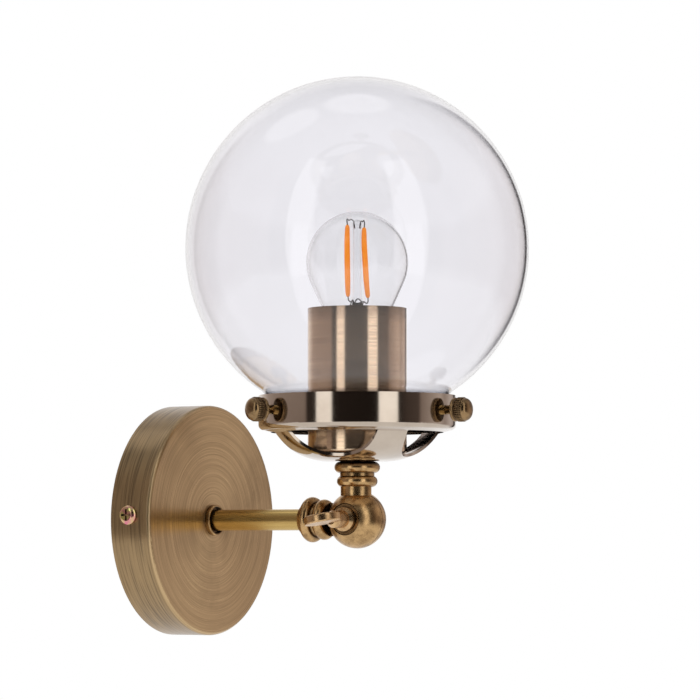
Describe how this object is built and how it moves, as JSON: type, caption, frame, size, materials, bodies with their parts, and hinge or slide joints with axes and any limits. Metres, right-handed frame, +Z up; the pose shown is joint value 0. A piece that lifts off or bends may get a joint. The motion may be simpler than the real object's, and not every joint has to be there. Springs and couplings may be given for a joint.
{
  "type": "globe wall sconce",
  "caption": "Wall light with a round plate, short swivel arm, thumb key, pierced gallery and clear glass globe over a small screw-in bulb.",
  "frame": {"origin": "centre of the wall plate's rear rim, on the wall, which is also the middle of the bracket's two slots", "axes": "+Z up, +Y into the wall, so the arm and the lamp stand out towards -Y; the lamp's axis is the vertical at Y = -94.6 mm"},
  "size_m": [0.15, 0.1696, 0.2443],
  "materials": {
    "brushed_antique_brass": "brushed antique brass, lacquered",
    "polished_antique_brass": "polished antique brass, lacquered",
    "aged_brass": "satin aged brass with darkened grooves",
    "satin_brass": "satin golden brass",
    "plated_steel": "bright zinc plate",
    "zinc_yellow_steel": "yellow iridescent zinc plate",
    "spring_brass": "bare spring brass",
    "nickel_shell": "bright plated",
    "solder": "dull solder",
    "holder_ceramic": "glazed white ceramic",
    "terminal_plastic": "natural nylon",
    "insulator_black": "black",
    "clear_globe_glass": "clear blown glass",
    "clear_bulb_glass": "clear thin glass",
    "filament_orange": "orange silicone coating",
    "wire_metal": "drawn wire"
  },
  "bodies": {
    "wall_side": {"wall_bracket": "plated_steel", "wall_plate": "brushed_antique_brass", "side_screws": "zinc_yellow_steel", "earth_screw": "zinc_yellow_steel", "terminal_block": "terminal_plastic", "terminal_screws": "spring_brass", "arm_tube": "satin_brass", "arm_ferrule": "aged_brass", "arm_lock_washer": "plated_steel", "arm_nut": "plated_steel", "arm_half": "aged_brass", "friction_washer": "spring_brass"},
    "lamp_head": {"neck_half": "aged_brass", "key_washer": "aged_brass", "gallery": "polished_antique_brass", "socket_cup": "brushed_antique_brass", "cup_spacer": "plated_steel", "cup_washer": "plated_steel", "nipple_nut": "plated_steel", "nipple": "plated_steel", "lampholder": "holder_ceramic", "screw_shell": "nickel_shell", "centre_contact": "spring_brass"},
    "key": {"thumb_key": "aged_brass", "key_stud": "plated_steel"},
    "thumbscrew_right": {"thumbscrew_1": "aged_brass"},
    "thumbscrew_left": {"thumbscrew_2": "aged_brass"},
    "thumbscrew_front": {"thumbscrew_3": "aged_brass"},
    "bulb": {"bulb_glass": "clear_bulb_glass", "bulb_cap": "nickel_shell", "bulb_insulator": "insulator_black", "bulb_contact": "solder", "bulb_stem": "clear_bulb_glass", "bulb_filaments": "filament_orange", "bulb_wires": "wire_metal"},
    "globe": {"globe": "clear_globe_glass"}
  },
  "joints": [
    {"name": "swivel_tilt", "type": "hinge", "parent": "wall_side", "child": "lamp_head", "pos_m": [0, -0.0946, 0], "axis": [1, 0, 0], "range_deg": [-8, 188]},
    {"name": "key_turn", "type": "hinge", "parent": "wall_side", "child": "key", "pos_m": [0, -0.0946, 0], "axis": [-1, 0, 0], "range_deg": [0, 360]},
    {"name": "thumbscrew_right_turn", "type": "hinge", "parent": "lamp_head", "child": "thumbscrew_right", "pos_m": [0, -0.0946, 0.0469], "axis": [0.8387, 0.5446, 0], "range_deg": [0, 1080]},
    {"name": "thumbscrew_left_turn", "type": "hinge", "parent": "lamp_head", "child": "thumbscrew_left", "pos_m": [0, -0.0946, 0.0469], "axis": [-0.891, 0.454, 0], "range_deg": [0, 1080]},
    {"name": "thumbscrew_front_turn", "type": "hinge", "parent": "lamp_head", "child": "thumbscrew_front", "pos_m": [0, -0.0946, 0.0469], "axis": [0.0523, -0.9986, 0], "range_deg": [0, 1080]},
    {"name": "bulb_unscrew", "type": "hinge", "parent": "lamp_head", "child": "bulb", "pos_m": [0, -0.0946, 0], "axis": [0, 0, 1], "range_deg": [0, 1080]},
    {"name": "globe_lift", "type": "slide", "parent": "lamp_head", "child": "globe", "axis": [0, 0, 1], "range_m": [0, 0.11]}
  ]
}
